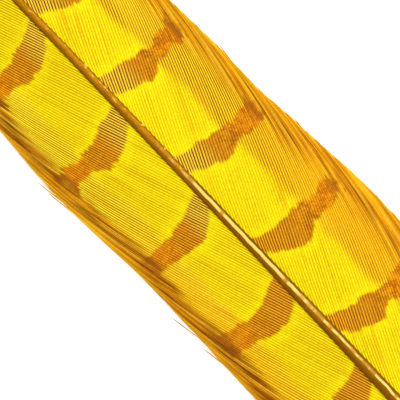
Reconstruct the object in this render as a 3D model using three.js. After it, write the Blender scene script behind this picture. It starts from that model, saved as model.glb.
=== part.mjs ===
// A pheasant tail feather lying on its underside: a horn-like shaft, a sheet of
// barbs along each side of it and two tufts of down beside the quill.
// Millimetres. +X runs to the tip, +Z is up, and the feather's glossy outer side
// is on top. Stations are measured along X from the open end of the quill.
import * as THREE from 'three';

// Driving dimensions
const LENGTH = 460;          // open end of the quill to the farthest barb
const SHAFT_LENGTH = 445;    // the shaft stops short of the last barbs
const VANE_START = 78;       // where the closed vane begins
const DOWN_START = 36;       // lowest downy barb on the quill
const BOW_RISE = 3.4;        // how far the shaft arches off the table
const BOW_SKEW = 1.5;        // the higher, the nearer to the tip the bow peaks
const QUILL_REST = 26;       // length of quill that lies along the table
const SWAY = 3;              // sideways bend of the whole shaft
const VANE_THICKNESS = 0.5;
const JOINT_GAP = 0.3;       // clearance between neighbouring pieces
const VANE_SEAT = 0.25;      // how high on the shaft the vane joins, as a share of its radius
const EDGE_LIFT = 1.3;       // height of the vane's edge over the table, amid the bow
const EDGE_TOUCH = 350;      // station from which the vane's edges lie on the table
const VANE_ARCH = 1.5;       // above 1, a vane is level beside the shaft and droops near its edge
const LEAST_WIDTH = 0.3;     // width of a vane where its outline closes past the shaft's end
const DOWN_OFF_TABLE = 0.1;  // the tufts of down hang this far off the table
const DOWN_LIP = 1;          // height of a tuft's blunt outer edge
const DOWN_SEAT = 0.6;       // how high on the quill a tuft joins, as a share of its radius
const DOWN_CROWN = 0.8;      // height of a tuft halfway out, as a share of its height at the quill

// Profiles, each a smooth curve through [station, millimetres]
const SHAFT_WIDTH = [[0, 2.5], [30, 4.0], [50, 3.7], [165, 3.05], [215, 2.5], [290, 2.1], [340, 1.6],
  [400, 1.0], [445, 0.4]];
const RIGHT_WIDTH = [[78, 18.5], [100, 24.8], [140, 27.4], [195, 27.95], [217, 27.35], [238, 25.55],
  [263, 25.05], [300, 22.4], [350, 17.2], [400, 10.9], [440, 4.6], [460, 0.8]];
const LEFT_WIDTH = [[78, 16], [100, 20], [140, 22.6], [190, 22.75], [226, 22.65], [245, 23.75],
  [262, 23.85], [300, 20.9], [350, 16], [400, 10], [440, 4.3], [460, 0.8]];
const DOWN_WIDTH = [[36, 5], [46, 13], [60, 19], [72, 20], [77, 18]];

// Resolution of the facets
const SHAFT_SIDES = 12;
const SHAFT_STEPS = 60;
const STEP_GROWTH = 1.15;    // above 1, the shaft's steps are shorter at the quill
const VANE_STEPS = 64;
const VANE_COLUMNS = 6;
const DOWN_STEPS = 8;
const SAMPLES_PER_POINT = 24;

function profile(points) {
  const curve = new THREE.SplineCurve(points.map(([x, y]) => new THREE.Vector2(x, y)));
  const samples = curve.getPoints(points.length * SAMPLES_PER_POINT);
  return (station) => {
    const next = samples.findIndex((sample) => sample.x >= station);
    if (next <= 0) return samples[next === 0 ? 0 : samples.length - 1].y;
    const [before, after] = [samples[next - 1], samples[next]];
    return THREE.MathUtils.mapLinear(station, before.x, after.x, before.y, after.y);
  };
}

const shaftWidth = profile(SHAFT_WIDTH);

function shaftRadius(station) {
  return shaftWidth(Math.min(station, SHAFT_LENGTH)) / 2;
}

// Sideways place of the shaft's middle line: a shallow arc bent towards -Y.
function shaftSide(station) {
  const share = station / LENGTH * 2 - 1;
  return -SWAY * (1 - share * share);
}

// Height of the shaft's middle line: flat along the quill, then a bow that peaks
// past its middle and comes down at the tip.
function shaftHeight(station) {
  const flatSide = Math.cos(Math.PI / SHAFT_SIDES);
  const share = THREE.MathUtils.clamp((station - QUILL_REST) / (LENGTH - QUILL_REST), 0, 1);
  const peakShare = BOW_SKEW / (BOW_SKEW + 1);
  const peak = peakShare ** BOW_SKEW * (1 - peakShare);
  return shaftRadius(station) * flatSide + BOW_RISE * share ** BOW_SKEW * (1 - share) / peak;
}

// Height of the middle of the vane's outer edge.
function edgeHeight(station) {
  const share = THREE.MathUtils.clamp((station - DOWN_START) / (EDGE_TOUCH - DOWN_START), 0, 1);
  return VANE_THICKNESS / 2 + EDGE_LIFT * Math.sin(Math.PI * share) ** 2;
}

function stationToX(station) {
  return station - LENGTH / 2;
}

// Closes a grid of rings, each ring a closed loop of points, with a fan at each end.
function loft(rings) {
  const sides = rings[0].length;
  const positions = rings.flat().flatMap((point) => [point.x, point.y, point.z]);
  const indices = [];
  for (let ring = 0; ring < rings.length - 1; ring += 1) {
    for (let side = 0; side < sides; side += 1) {
      const a = ring * sides + side;
      const b = ring * sides + (side + 1) % sides;
      indices.push(a, b, b + sides, a, b + sides, a + sides);
    }
  }
  const last = (rings.length - 1) * sides;
  for (let side = 1; side < sides - 1; side += 1) {
    indices.push(0, side + 1, side);
    indices.push(last, last + side, last + side + 1);
  }
  const geometry = new THREE.BufferGeometry();
  geometry.setAttribute('position', new THREE.Float32BufferAttribute(positions, 3));
  geometry.setIndex(indices);
  return geometry;
}

// The shaft is a twelve-sided tapering rod, turned so that one flat side faces down.
function shaftGeometry() {
  const rings = [];
  for (let step = 0; step <= SHAFT_STEPS; step += 1) {
    const station = SHAFT_LENGTH * (step / SHAFT_STEPS) ** STEP_GROWTH;
    const radius = shaftRadius(station);
    const ring = [];
    for (let side = 0; side < SHAFT_SIDES; side += 1) {
      const angle = (side + 0.5) / SHAFT_SIDES * Math.PI * 2;
      ring.push(new THREE.Vector3(
        stationToX(station),
        shaftSide(station) + radius * Math.cos(angle),
        shaftHeight(station) + radius * Math.sin(angle),
      ));
    }
    rings.push(ring);
  }
  return loft(rings);
}

// A point on the middle surface of a vane, from beside the shaft (across 0) to the
// outer edge (across 1). side is 1 for the left vane and -1 for the right one.
function vanePoint(station, across, width, side) {
  const radius = station > SHAFT_LENGTH ? 0 : shaftRadius(station);
  const inner = radius + JOINT_GAP;
  const root = Math.max(shaftHeight(station) + shaftRadius(station) * VANE_SEAT, VANE_THICKNESS / 2);
  const edge = Math.min(edgeHeight(station), root);
  return new THREE.Vector3(
    stationToX(station),
    shaftSide(station) + side * THREE.MathUtils.lerp(inner, Math.max(width, inner + LEAST_WIDTH), across),
    THREE.MathUtils.lerp(root, edge, across ** VANE_ARCH),
  );
}

// A vane is a thin arched sheet. Each ring goes out along its underside and back
// along its top.
function vaneGeometry(widths, side) {
  const width = profile(widths);
  const rings = [];
  for (let step = 0; step <= VANE_STEPS; step += 1) {
    const station = THREE.MathUtils.lerp(VANE_START, LENGTH, step / VANE_STEPS);
    const columns = Array.from({ length: VANE_COLUMNS + 1 }, (_, column) => (
      vanePoint(station, column / VANE_COLUMNS, width(station), side)));
    const lift = new THREE.Vector3(0, 0, VANE_THICKNESS / 2);
    const under = columns.map((point) => point.clone().sub(lift));
    const over = columns.map((point) => point.clone().add(lift)).reverse();
    const ring = [...under, ...over];
    rings.push(side > 0 ? ring : ring.reverse());
  }
  return loft(rings);
}

// A tuft of down is a lens-shaped cushion that lies on the table beside the quill.
function downGeometry(side) {
  const width = profile(DOWN_WIDTH);
  const end = VANE_START - JOINT_GAP;
  const rings = [];
  for (let step = 0; step <= DOWN_STEPS; step += 1) {
    const station = THREE.MathUtils.lerp(DOWN_START, end, step / DOWN_STEPS);
    const inner = shaftRadius(station) + JOINT_GAP;
    const outer = Math.max(width(station), inner + DOWN_LIP);
    const halfway = (inner + outer) / 2;
    const top = shaftHeight(station) + shaftRadius(station) * DOWN_SEAT;
    const ring = [
      [inner, JOINT_GAP], [halfway, DOWN_OFF_TABLE], [outer - DOWN_LIP, DOWN_OFF_TABLE],
      [outer, DOWN_LIP / 2], [outer - DOWN_LIP, DOWN_LIP], [halfway, top * DOWN_CROWN], [inner, top],
    ].map(([out, height]) => new THREE.Vector3(
      stationToX(station), shaftSide(station) + side * out, height));
    rings.push(side > 0 ? ring : ring.reverse());
  }
  return loft(rings);
}

function piece(name, geometry, color, roughness) {
  const material = new THREE.MeshStandardMaterial({ color, roughness, metalness: 0 });
  const mesh = new THREE.Mesh(geometry, material);
  mesh.name = name;
  return mesh;
}

const feather = new THREE.Group();
feather.add(
  piece('shaft', shaftGeometry(), '#b98a12', 0.35),
  piece('right_vane', vaneGeometry(RIGHT_WIDTH, -1), '#f2cf14', 0.7),
  piece('left_vane', vaneGeometry(LEFT_WIDTH, 1), '#ecc91a', 0.7),
  piece('right_down', downGeometry(-1), '#f4dc62', 0.9),
  piece('left_down', downGeometry(1), '#f4dc62', 0.9),
);

// The origin is below the middle of the feather, on the table.
const box = new THREE.Box3().setFromObject(feather);
const middle = box.getCenter(new THREE.Vector3());
feather.position.set(-middle.x, -middle.y, -box.min.z);

export default feather;
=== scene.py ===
"""A dyed pheasant tail feather lying on a pale surface.

The feather's solids are the frame. The horn-like shaft, the two sheets of barbs and the two tufts of
down are modelled around it, each in the place of its own solid. Lengths are in millimetres until a mesh
is made. A station is a distance from the open end of the quill, and the lateral distance runs out from
the shaft's middle line.
"""
import math
from functools import partial

import bmesh
import bpy
import numpy as np
from bpy.props import FloatProperty, FloatVectorProperty, IntProperty, PointerProperty
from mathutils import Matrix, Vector


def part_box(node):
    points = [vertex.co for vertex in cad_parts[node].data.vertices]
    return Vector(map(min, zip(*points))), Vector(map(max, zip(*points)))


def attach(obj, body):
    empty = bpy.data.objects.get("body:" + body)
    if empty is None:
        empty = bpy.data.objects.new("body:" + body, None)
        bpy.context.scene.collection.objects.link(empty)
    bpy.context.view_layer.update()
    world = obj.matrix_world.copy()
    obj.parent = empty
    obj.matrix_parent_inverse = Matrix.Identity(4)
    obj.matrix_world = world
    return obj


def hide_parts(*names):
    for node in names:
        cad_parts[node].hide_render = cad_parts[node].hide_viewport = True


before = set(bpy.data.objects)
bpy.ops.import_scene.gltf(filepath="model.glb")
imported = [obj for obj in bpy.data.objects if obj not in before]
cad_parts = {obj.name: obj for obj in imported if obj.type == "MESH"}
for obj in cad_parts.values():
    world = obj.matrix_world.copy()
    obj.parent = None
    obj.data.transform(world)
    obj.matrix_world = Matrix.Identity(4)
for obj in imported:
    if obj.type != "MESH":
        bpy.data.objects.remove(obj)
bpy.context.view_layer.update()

bl_info = {
    "name": "Pheasant Tail Feather",
    "version": (1, 0, 0),
    "blender": (4, 5, 0),
    "location": "View3D > Sidebar > Feather",
    "description": "Models a dyed, barred tail feather: shaft, barbed vanes and down",
    "category": "Add Mesh",
}

MM = 0.001
BODY = "root"


# ---------------------------------------------------------------- sizes from the frame

def points_of(mesh):
    """The mesh's vertices in millimetres, one in a row."""
    flat = np.empty(len(mesh.vertices) * 3, np.float32)
    mesh.vertices.foreach_get("co", flat)
    return flat.reshape(-1, 3).astype(float) / MM


def rings_of(node):
    """The solid's vertices in millimetres, as a list of (distance along X, points of that ring)."""
    points = points_of(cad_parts[node].data)
    places = np.round(points[:, 0], 2)
    return [(place, points[places == place]) for place in np.unique(places)]


QUILL_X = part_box("shaft")[0][0] / MM
SHAFT_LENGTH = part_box("shaft")[1][0] / MM - QUILL_X
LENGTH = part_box("right_vane")[1][0] / MM - QUILL_X
VANE_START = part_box("right_vane")[0][0] / MM - QUILL_X
DOWN_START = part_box("right_down")[0][0] / MM - QUILL_X
DOWN_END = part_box("right_down")[1][0] / MM - QUILL_X
RING_TOLERANCE = 0.01
VANE_FALL = 1.5            # a vane falls by this power of the share of its width


class ShaftProfile:
    """Middle line and radius of the shaft, measured on its solid."""

    def __init__(self):
        rings = rings_of("shaft")
        self.station = np.array([place - QUILL_X for place, _ in rings])
        self.side = np.array([(p[:, 1].min() + p[:, 1].max()) / 2 for _, p in rings])
        self.height = np.array([(p[:, 2].min() + p[:, 2].max()) / 2 for _, p in rings])
        self.half = np.array([np.ptp(p[:, 1]) / 2 for _, p in rings])

    def middle(self, station):
        """Sideways place of the middle line, carried on past the shaft's end along its last slope."""
        slope = (self.side[-1] - self.side[-6]) / (self.station[-1] - self.station[-6])
        past = np.maximum(station - self.station[-1], 0)
        return np.interp(station, self.station, self.side) + slope * past

    def axis_height(self, station):
        return np.interp(station, self.station, self.height)

    def radius(self, station):
        return np.interp(station, self.station, self.half)

    def axis_point(self, station):
        """The middle of the shaft at a station, in metres."""
        return Vector((station + QUILL_X, self.middle(station), self.axis_height(station))) * MM


SHAFT = ShaftProfile()


class SideProfile:
    """Width and arch of a vane or a tuft, measured on its solid. side is 1 on the left and -1 on the
    right."""

    def __init__(self, node, side):
        rings = rings_of(node)
        self.side = side
        self.station = np.array([place - QUILL_X for place, _ in rings])
        self.width = np.empty(len(rings))
        self.root = np.empty(len(rings))
        self.edge = np.empty(len(rings))
        for i, (place, points) in enumerate(rings):
            lateral = side * (points[:, 1] - SHAFT.middle(place - QUILL_X))
            near = lateral < lateral.min() + RING_TOLERANCE
            far = lateral > lateral.max() - RING_TOLERANCE
            self.width[i] = lateral.max()
            self.root[i] = points[near, 2].mean()
            self.edge[i] = points[far, 2].mean()

    def reach(self, station):
        return np.interp(station, self.station, self.width)

    def height(self, station, lateral):
        """Height of the vane's middle surface, which falls from the shaft to the outer edge."""
        width = self.reach(station)
        share = np.clip(lateral / np.maximum(width, 0.1), 0, 1.1)
        root = np.interp(station, self.station, self.root)
        edge = np.interp(station, self.station, self.edge)
        return root + (edge - root) * share ** VANE_FALL


# ---------------------------------------------------------------- the feather's own laws

# Angle between a barb and the shaft, in degrees, at shares of the vane's width. Barbs leave the shaft
# swept towards the tip and bend nearly parallel to the edge in a hairy fringe.
RIGHT_ANGLES = (
    (0.0, 20.5), (0.1, 22.5), (0.27, 25.5), (0.45, 24.5), (0.7, 21), (0.8, 17.5), (0.9, 12), (1.0, 4.5),
)
LEFT_ANGLES = (
    (0.0, 18.3), (0.13, 18.8), (0.3, 20.5), (0.5, 18), (0.75, 16.2), (0.86, 12), (0.93, 8.5), (1.0, 4),
)
FULL_SWEEP_STATION = 150   # from here on barbs are swept in full; towards the quill they stand out more
LEAST_SWEEP = 0.45
TIP_LENGTH = 22            # the last barbs turn forward over this stretch and close the feather's tip
TIP_SWEEP = 13

# Dark bars: distance of each bar's tip-side and quill-side edge from the bar's own station, towards the
# quill, at lateral distances from the shaft. A bar bows towards the quill.
RIGHT_BAR_TIPSIDE = ((1.1, 0.8), (4.4, 2.0), (8.8, 2.6), (13.2, 3.4), (17.6, 3.1), (22, 2.5))
RIGHT_BAR_QUILLSIDE = (
    (1.1, 5.7), (4.4, 7.9), (8.8, 9.4), (10.5, 9.9), (13.2, 8.2), (17.6, 8.4), (22, 7.6),
)
LEFT_BAR_TIPSIDE = ((1.1, 0.9), (4.4, 2.0), (8.8, 3.5), (13.2, 4.4), (17.6, 3.8), (21, 3.6))
LEFT_BAR_QUILLSIDE = (
    (1.1, 6.8), (4.4, 9.3), (8.8, 10.7), (11, 10.8), (13.2, 9.5), (17.6, 8.7), (21, 8.6),
)
BAR_LEAN = 1.2             # most that a bar's middle leans towards either end of the feather
BAR_LEAN_AT = 13           # lateral distance of that middle
BAR_SHIFT = 0.25           # most that a whole bar is shifted
BAR_FATNESS = (0.94, 1.06)
TIP_WOBBLE = 0.5           # most that a bar's tip-side edge wanders from its curve
QUILL_WOBBLE = 0.6         # the same for its quill-side edge
FULL_WIDTH = 25            # lateral distance to which those edges are drawn on a full-width stretch
CROWDING_STATION = 300     # from here to the tip bars crowd and get narrower
BAR_CROWDING = 0.975       # from gap to gap
BAR_NARROWING = 0.35       # at the tip
BARB_RAGGED = 0.3          # most that single barbs pull a bar's edge along
STRETCH_RAGGED = 0.4       # the same for little stretches of barbs
FAR_OUTSIDE = -50.0        # depth inside a bar where there is none


def smoothstep(low, high, value):
    """0 up to low, 1 from high on, and a smooth rise between them."""
    share = np.clip((value - low) / (high - low), 0, 1)
    return share * share * (3 - 2 * share)


def curve(points, place):
    """Height, at each place, of a smooth line through (place, height) points."""
    knots, heights = np.array(points, float).T
    slopes = np.gradient(heights, knots)
    i = np.clip(np.searchsorted(knots, place) - 1, 0, len(knots) - 2)
    width = knots[i + 1] - knots[i]
    share = np.clip((place - knots[i]) / width, 0, 1)
    rest = 1 - share
    level = heights[i] * rest ** 2 * (1 + 2 * share) + heights[i + 1] * share ** 2 * (1 + 2 * rest)
    return level + width * share * rest * (slopes[i] * rest - slopes[i + 1] * share)


def soft_noise(generator, count, knots):
    """count values in -1..1 that drift smoothly between that many random knots."""
    values = generator.uniform(-1, 1, knots + 3)
    place = np.linspace(0, knots, count)
    index = place.astype(int)
    blend = smoothstep(0, 1, place - index)
    return values[index] * (1 - blend) + values[index + 1] * blend


# ---------------------------------------------------------------- strands: many fibres in one mesh

# In a bake map every strip keeps a margin to its neighbours. A fibre's end faces lie in those margins.
STRIP_START, STRIP_LENGTH = 0.01, 0.96
STRIP_FOOT, STRIP_HEIGHT = 0.06, 0.88
END_FACES = ((0.005, -1), (0.985, 1))          # place of each end face in its strip, and way it turns
END_HALF_LENGTH, END_HALF_HEIGHT = 0.004, 0.3


class Strands:
    """A bundle of fibres of one section, each lofted along its own path and closed at both ends."""

    def __init__(self, paths, sideways, upwards, section):
        count, steps = paths.shape[:2]
        sides = len(section)
        points = np.stack(
            [paths + sideways * across[..., None] + upwards * up[..., None] for across, up in section],
            axis=2,
        )
        self.shape = (count, steps, sides)
        self.points = points.reshape(-1, 3)

    def faces(self):
        """Quads along every fibre and one end face at each end, as vertex indices."""
        count, steps, sides = self.shape
        start = np.arange(count)[:, None, None] * steps * sides
        step = np.arange(steps - 1)[None, :, None] * sides
        here = np.arange(sides)[None, None, :]
        following = (here + 1) % sides
        corner = start + step
        quads = np.stack(
            [corner + here, corner + here + sides, corner + following + sides, corner + following],
            axis=-1,
        ).reshape(-1, 4)
        first = (np.arange(count) * steps * sides)[:, None] + np.arange(sides)[None, :]
        last = first[:, ::-1] + (steps - 1) * sides
        return quads, first, last

    def bake_map(self, bands, columns, window):
        """A map in which every fibre has a strip of its own, between the two heights of the window.
        bands are the shares of a strip that go to the section's sides."""
        count, steps, sides = self.shape
        rows = math.ceil(count / columns)
        fibre = np.arange(count)
        left = (fibre % columns)[:, None, None, None]
        row = (fibre // columns)[:, None, None, None]
        band = np.concatenate([[0.0], np.cumsum(bands)])
        along = np.array([0, 1, 1, 0])[None, None, None, :] + np.arange(steps - 1)[None, :, None, None]
        round_it = np.array([0, 0, 1, 1])[None, None, None, :] + np.arange(sides)[None, None, :, None]
        u = (left + STRIP_START + STRIP_LENGTH * along / (steps - 1)) / columns
        v = (row + STRIP_FOOT + STRIP_HEIGHT * band[round_it]) / rows
        places = [np.stack(np.broadcast_arrays(u, v), axis=-1).reshape(-1, 2)]
        turn = np.arange(sides) / sides * 2 * math.pi
        for place, way in END_FACES:
            end_u = (left[:, 0, 0] + place + END_HALF_LENGTH * np.cos(turn)[None, :] * way) / columns
            end_v = (row[:, 0, 0] + 0.5 + END_HALF_HEIGHT * np.sin(turn)[None, :]) / rows
            places.append(np.stack(np.broadcast_arrays(end_u, end_v), axis=-1).reshape(-1, 2))
        places = np.concatenate(places)
        places[:, 1] = window[0] + (window[1] - window[0]) * places[:, 1]
        return places


def mark_points(mesh, values):
    """Adds point attributes, each with a value for every vertex."""
    for key, value in values.items():
        attribute = mesh.attributes.new(key, "FLOAT", "POINT")
        attribute.data.foreach_set("value", value.ravel().astype(np.float32))


def strand_object(name, strands, maps, values, bands, columns, window=(0.0, 1.0)):
    """The bundle as one object, with its maps by name, its own bake map and its point attributes."""
    quads, first, last = strands.faces()
    mesh = bpy.data.meshes.new(name)
    faces = quads.tolist() + first.tolist() + last.tolist()
    mesh.from_pydata((strands.points * MM).tolist(), [], faces)
    corners = np.concatenate([quads.ravel(), first.ravel(), last.ravel()])
    for key, places in maps.items():
        places = np.broadcast_to(places[:, :, None, :], (*strands.shape, 2)).reshape(-1, 2)
        layer = mesh.uv_layers.new(name=key)
        layer.data.foreach_set("uv", places[corners].ravel().astype(np.float32))
    layer = mesh.uv_layers.new(name="OFBake")
    layer.data.foreach_set("uv", strands.bake_map(bands, columns, window).ravel().astype(np.float32))
    mark_points(mesh, {key: np.broadcast_to(value, strands.shape) for key, value in values.items()})
    piece = bpy.data.objects.new(name, mesh)
    bpy.context.scene.collection.objects.link(piece)
    return piece


def unit(vectors):
    return vectors / np.maximum(np.linalg.norm(vectors, axis=-1, keepdims=True), 1e-9)


def frames_along(paths):
    """Forward, level and upward directions at every point of every path."""
    forward = unit(np.gradient(paths, axis=1))
    level = unit(np.cross(np.array([0.0, 0.0, 1.0]), forward))
    upward = unit(np.cross(forward, level))
    return forward, level, upward * np.sign(upward[..., 2:])


# ---------------------------------------------------------------- vanes

class VaneLaw:
    """What sets one vane apart from the other: its barbs' angles and spacing, the edges, place and
    spacing of its bars, how many barbs cling together and how far, how much they overlap in the
    fringe, and how many hairs split off there."""

    def __init__(self, profile, angles, pitch, tipside, quillside, bar_anchor, bar_pitch,
                 clump, clump_pull, fringe_cover, hairs, seed, bar_seed):
        self.profile = profile
        self.angles = angles
        self.pitch = pitch
        self.tipside = tipside
        self.quillside = quillside
        self.bar_anchor = bar_anchor
        self.bar_pitch = bar_pitch
        self.clump = clump
        self.clump_pull = clump_pull
        self.fringe_cover = fringe_cover
        self.hairs = hairs
        self.seed = seed
        self.bar_seed = bar_seed

    def course(self):
        """Shares of the width, and how far a barb has run along the shaft there, in widths."""
        share = np.linspace(0, 1, 401)
        steps = 1 / np.tan(np.radians(curve(self.angles, share)))
        run = np.concatenate([[0], np.cumsum((steps[1:] + steps[:-1]) / 2 * np.diff(share))])
        return share, run


STEPS_PER_BARB = 72
MOST_TRIANGLES = 196000
TRIANGLES_PER_STEP = 10    # two on each of a barb's five sides
TIP_STRETCH = 60           # barbs stand closer on this last stretch of the shaft
TIP_GAP = 0.6              # left free at its very end
PITCH_UNEVENNESS = 0.08    # most that a gap between barbs is wider or narrower, as a share of it
MOST_REACH = 40.0          # wider than any vane
BISECTIONS = 40
EDGE_UNEVENNESS = 0.0015   # of single barb tips, in widths
EDGE_WAVES = 0.005         # of stretches of the edge, in widths
LOOSE_STRETCH = 30         # barbs are loose on this first stretch of the vane
LOOSE_RISE = 0.8           # most that they rise above it
FRINGE_DRIFT = 0.10        # most that barbs drift apart in the fringe
RIPPLE = 0.16              # most that stretches of the vane rise or sink
TIP_RISE = 0.05            # the same for single tips
TIP_NARROWING = 0.93       # share of the width that the feather's last barbs lose
LEAST_HEIGHT = 0.19        # of a barb's middle above the surface that it lies on
MOST_SPACING = 1.2         # that webs bridge
HALF_WIDTHS = (0.09, 0.6)  # least and most of a barb
WEB_COVER = 1.1            # width of a barb in barb spacings, inside the fringe
RIB_HALF_WIDTH, RIB_THINNING = 0.075, 0.035    # by the shaft, and how much less at the tip
RIB_HEIGHT, RIB_FALL = 0.10, 0.05
WEB_TILT = 0.16            # the tip side of a web lies over the near side of the next barb's
TAPER_START = 0.955        # share of a barb's run from which it gets thinner
TAPER = 0.85               # share of its width that it has lost at its end
HAIR_START = 0.72          # share of a barb's run at which a hair splits off from it
HAIR_REACH = (0.4, 1.7)    # how far its tip stands out from the barb's
HAIR_HALF_WIDTH = 0.12
GROUP_SIZES = (3, 6)       # barbs in a group in the fringe, from the first up to below the second
GROUP_SHADING = (1.0, 0.3, -1.0)    # painted shade of the first barbs of a group, and a painted highlight where below 0
SEAM_GAPS = (6, 11)        # barbs between the wider seams by the rim, in the same way
SEAM_STARTS = (0.91, 0.935, 0.965)   # shares of the width where such a seam takes in one barb more
SEAM_DARKNESS = (0.6, 1)


def barb_roots(law, generator):
    """Stations where barbs leave the shaft. They stand closer towards the quill and the tip."""
    roots = []
    station = VANE_START - 1
    while station < SHAFT_LENGTH - TIP_GAP:
        roots.append(station)
        by_quill = 0.5 + 0.5 * smoothstep(VANE_START, FULL_SWEEP_STATION, station)
        by_tip = 1 - 0.4 * smoothstep(SHAFT_LENGTH - TIP_STRETCH, SHAFT_LENGTH, station)
        station += law.pitch * by_quill * by_tip * (1 + PITCH_UNEVENNESS * generator.uniform(-1, 1))
    return np.array(roots)


def closing_share(roots):
    """0 along most of the shaft, and rising to 1 at its end, where the barbs close the tip."""
    return np.clip((roots - SHAFT_LENGTH + TIP_LENGTH) / TIP_LENGTH, 0, 1)


def barb_sweeps(roots):
    """How many times the full run each barb is swept forward."""
    opening = LEAST_SWEEP + (1 - LEAST_SWEEP) * smoothstep(VANE_START - 5, FULL_SWEEP_STATION, roots)
    return opening + (TIP_SWEEP - 1) * closing_share(roots) ** 3


def barb_ends(law, roots, sweep, full_run):
    """Lateral distance at which each barb's tip meets the vane's outline, found by bisection."""
    low = np.zeros(len(roots))
    high = np.full(len(roots), MOST_REACH)
    for _ in range(BISECTIONS):
        middle = (low + high) / 2
        station = roots + sweep * full_run * middle
        outside = (middle > law.profile.reach(station)) | (station > LENGTH)
        high = np.where(outside, middle, high)
        low = np.where(outside, low, middle)
    return low


def clump_pulls(law, roots, generator):
    """For each barb, how far its tip is drawn along the shaft to the middle of its clump of barbs."""
    pull = np.zeros(len(roots))
    start = 0
    while start < len(roots):
        size = int(generator.integers(*law.clump))
        members = slice(start, min(start + size, len(roots)))
        pull[members] = generator.uniform(*law.clump_pull) * (roots[members].mean() - roots[members])
        start += size
    return pull


def partings(reached, generator):
    """How much painted shade each barb gets in the fringe, at the shares of the width that it has
    reached:
    painted shade in a seam above 0, and a painted highlight below 0. Barbs lie in little groups, with a
    seam before each. By the rim, where they lie closer, wider seams are left."""
    depth = np.zeros(reached.shape)
    fading = 1 - smoothstep(0.93, 0.98, reached)
    barb = 0
    while barb < len(reached):
        group = slice(barb, barb + len(GROUP_SHADING))
        shadings = np.array(GROUP_SHADING)[:len(reached) - barb, None]
        depth[group] = generator.uniform(*SEAM_DARKNESS) * shadings * fading[group]
        barb += int(generator.integers(*GROUP_SIZES))
    barb = 0
    while barb < len(reached):
        dark = generator.uniform(*SEAM_DARKNESS)
        for step, start in enumerate(SEAM_STARTS):
            row = min(barb + step, len(reached) - 1)
            depth[row] = np.maximum(depth[row], dark * smoothstep(start, start + 0.04, reached[row]))
        barb += int(generator.integers(*SEAM_GAPS))
    return depth


def bar_stations(law):
    """Stations of the dark bars, which crowd a little towards the tip."""
    bars = [law.bar_anchor]
    gap = law.bar_pitch
    while bars[-1] < LENGTH:
        bars.append(bars[-1] + gap)
        if bars[-1] > CROWDING_STATION:
            gap *= BAR_CROWDING
    while bars[0] > VANE_START:
        bars.insert(0, bars[0] - law.bar_pitch)
    return bars


def bar_field(law, station, lateral, width):
    """Depth inside the nearest dark bar, in millimetres along the shaft, and below 0 outside it."""
    generator = np.random.default_rng(law.bar_seed)
    stretch = FULL_WIDTH / np.maximum(width, 4)
    drawn = lateral * np.clip(stretch, 1, 3) ** 0.7
    tipside = curve(law.tipside, drawn)
    quillside = curve(law.quillside, drawn)
    soft = 0.6 + 0.4 * smoothstep(2, 6, drawn)     # beside the shaft a bar ends gradually
    knots = np.linspace(0, FULL_WIDTH, 8)
    best = np.full(station.shape, FAR_OUTSIDE)
    for bar in bar_stations(law):
        narrowing = 1 - BAR_NARROWING * smoothstep(CROWDING_STATION, LENGTH, bar)
        shift = generator.uniform(-BAR_SHIFT, BAR_SHIFT)
        fat = generator.uniform(*BAR_FATNESS) * narrowing
        lean = generator.uniform(-BAR_LEAN, BAR_LEAN) * drawn / BAR_LEAN_AT
        tip_wobble, quill_wobble = (
            curve(np.stack([knots, generator.uniform(-most, most, len(knots))], axis=1), drawn)
            for most in (TIP_WOBBLE, QUILL_WOBBLE)
        )
        tip_depth = bar + shift + tip_wobble - tipside * fat - lean - station
        quill_depth = (station - bar - shift + quill_wobble + quillside * fat + lean) * soft
        best = np.maximum(best, np.minimum(tip_depth, quill_depth))
    return best


def barb_section(side, half, taper, reached):
    """A barb's corners across its length, with their point attributes and bake bands: the edge of the
    near web, both edges of the rib, the edge of the far web and the keel underneath."""
    rib = np.minimum(RIB_HALF_WIDTH - RIB_THINNING * reached, half * 0.45)
    height = (RIB_HEIGHT - RIB_FALL * reached) * taper
    tilt = half * WEB_TILT
    corners = ((-half, -tilt), (-rib, height), (rib, height + 0.01), (half, tilt), (rib * 0, -height))
    across = np.array([-1, -0.25, 0.25, 1, 0.0])
    underside = np.array([0, 0, 0, 0, 1.0])
    bands = (0.3, 0.1, 0.3, 0.15, 0.15)
    if side > 0:                       # turned round, so that the faces point outwards
        return corners[::-1], across[::-1], underside[::-1], (0.15, 0.3, 0.1, 0.3, 0.15)
    return corners, across, underside, bands


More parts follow.
